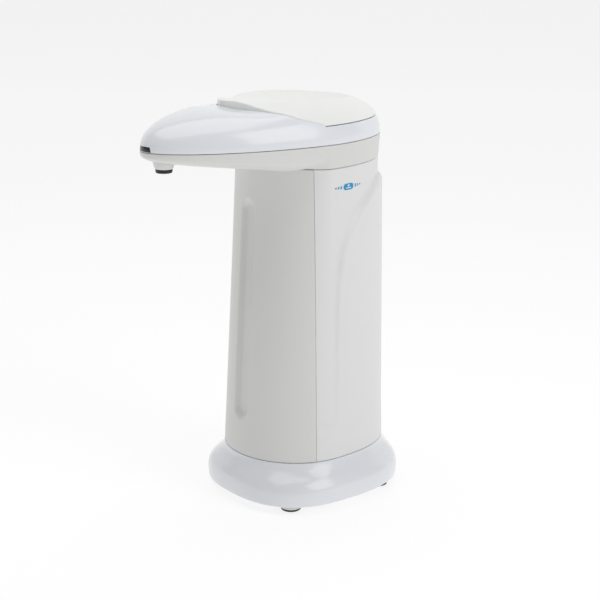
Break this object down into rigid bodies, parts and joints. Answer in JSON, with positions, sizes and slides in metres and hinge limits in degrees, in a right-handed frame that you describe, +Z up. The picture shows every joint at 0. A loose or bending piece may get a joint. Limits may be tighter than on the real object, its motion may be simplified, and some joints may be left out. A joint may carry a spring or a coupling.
{
  "type": "automatic soap dispenser",
  "caption": "Free-standing white sensor soap dispenser: tank column on a flared base, long nosed head with nozzle and a hinged filler lid with a finger dish.",
  "frame": {"origin": "on the floor under the middle of the whole object's box", "axes": "+Z up, -Y towards the nose and nozzle, +X to the right side seen from behind, across the width"},
  "size_m": [0.083, 0.135, 0.196],
  "materials": {
    "shell": "glossy moulded ABS, cool pearl white",
    "lid": "satin moulded ABS, warm white",
    "column": "satin moulded ABS, warm light grey-white",
    "tank": "satin translucent-white polypropylene",
    "nozzle": "milky translucent plastic",
    "black": "black satin plastic",
    "window": "dark glossy infrared-pass plastic",
    "rubber": "black soft rubber",
    "silicone": "translucent silicone",
    "mark": "blue printed mark",
    "inner": "matte light grey ABS",
    "gear": "natural acetal",
    "board": "green lacquered circuit board",
    "steel": "bright zinc plated steel",
    "cell": "printed steel can"
  },
  "bodies": {
    "root": {"head_shell": "shell", "base_skirt": "shell", "head_tray": "column", "front_shell": "column", "base_plate": "column", "reservoir": "tank", "nozzle_body": "nozzle", "status_led": "nozzle", "nozzle_tip": "black", "ir_emitter": "black", "ir_receiver": "black", "switch_body": "black", "sensor_window": "window", "foot_front_left": "rubber", "foot_front_right": "rubber", "foot_back_left": "rubber", "foot_back_right": "rubber", "outlet_valve": "silicone", "outlet_seal": "silicone", "suction_tube": "silicone", "delivery_tube": "silicone", "level_mark": "mark", "filler_deck": "inner", "pump_body": "inner", "pump_cover": "inner", "sensor_board": "board", "control_board": "board", "hinge_pin": "steel", "pump_motor": "steel", "motor_bracket": "steel", "base_screw_front_left": "steel", "base_screw_front_right": "steel", "base_screw_back_left": "steel", "base_screw_back_right": "steel", "contact_front_left": "steel", "contact_front_right": "steel", "contact_back_middle": "steel", "contact_back_left": "steel", "contact_back_right": "steel", "battery_1": "cell", "battery_2": "cell", "battery_3": "cell", "battery_4": "cell"},
    "lid": {"filler_lid": "lid", "lid_seal": "silicone"},
    "motor_rotor": {"motor_pinion": "gear"},
    "drive_wheel": {"drive_gear": "gear"},
    "idler_wheel": {"idler_gear": "gear"},
    "battery_cover": {"battery_door": "inner"},
    "switch_knob": {"switch_slider": "black"}
  },
  "joints": [
    {"name": "lid_hinge", "type": "hinge", "parent": "root", "child": "lid", "pos_m": [0, 0.0575, 0.1839], "axis": [-1, 0, 0], "range_deg": [0, 85]},
    {"name": "drive_spin", "type": "hinge", "parent": "root", "child": "drive_wheel", "pos_m": [-0.0045, -0.0025, 0.0585], "axis": [0, 0, 1], "continuous": true},
    {"name": "motor_spin", "type": "hinge", "parent": "root", "child": "motor_rotor", "pos_m": [-0.013, -0.0025, 0.0585], "axis": [0, 0, 1], "continuous": true},
    {"name": "idler_spin", "type": "hinge", "parent": "root", "child": "idler_wheel", "pos_m": [0.0025, -0.0025, 0.048], "axis": [0, 0, 1], "continuous": true},
    {"name": "battery_cover_slide", "type": "slide", "parent": "root", "child": "battery_cover", "axis": [0, -1, 0], "range_m": [0, 0.05]},
    {"name": "power_switch", "type": "slide", "parent": "root", "child": "switch_knob", "axis": [1, 0, 0], "range_m": [0, 0.004]}
  ],
  "couplings": [
    {"joint": "motor_spin", "follows": "drive_spin", "ratio": -2.4},
    {"joint": "idler_spin", "follows": "drive_spin", "ratio": -1}
  ]
}
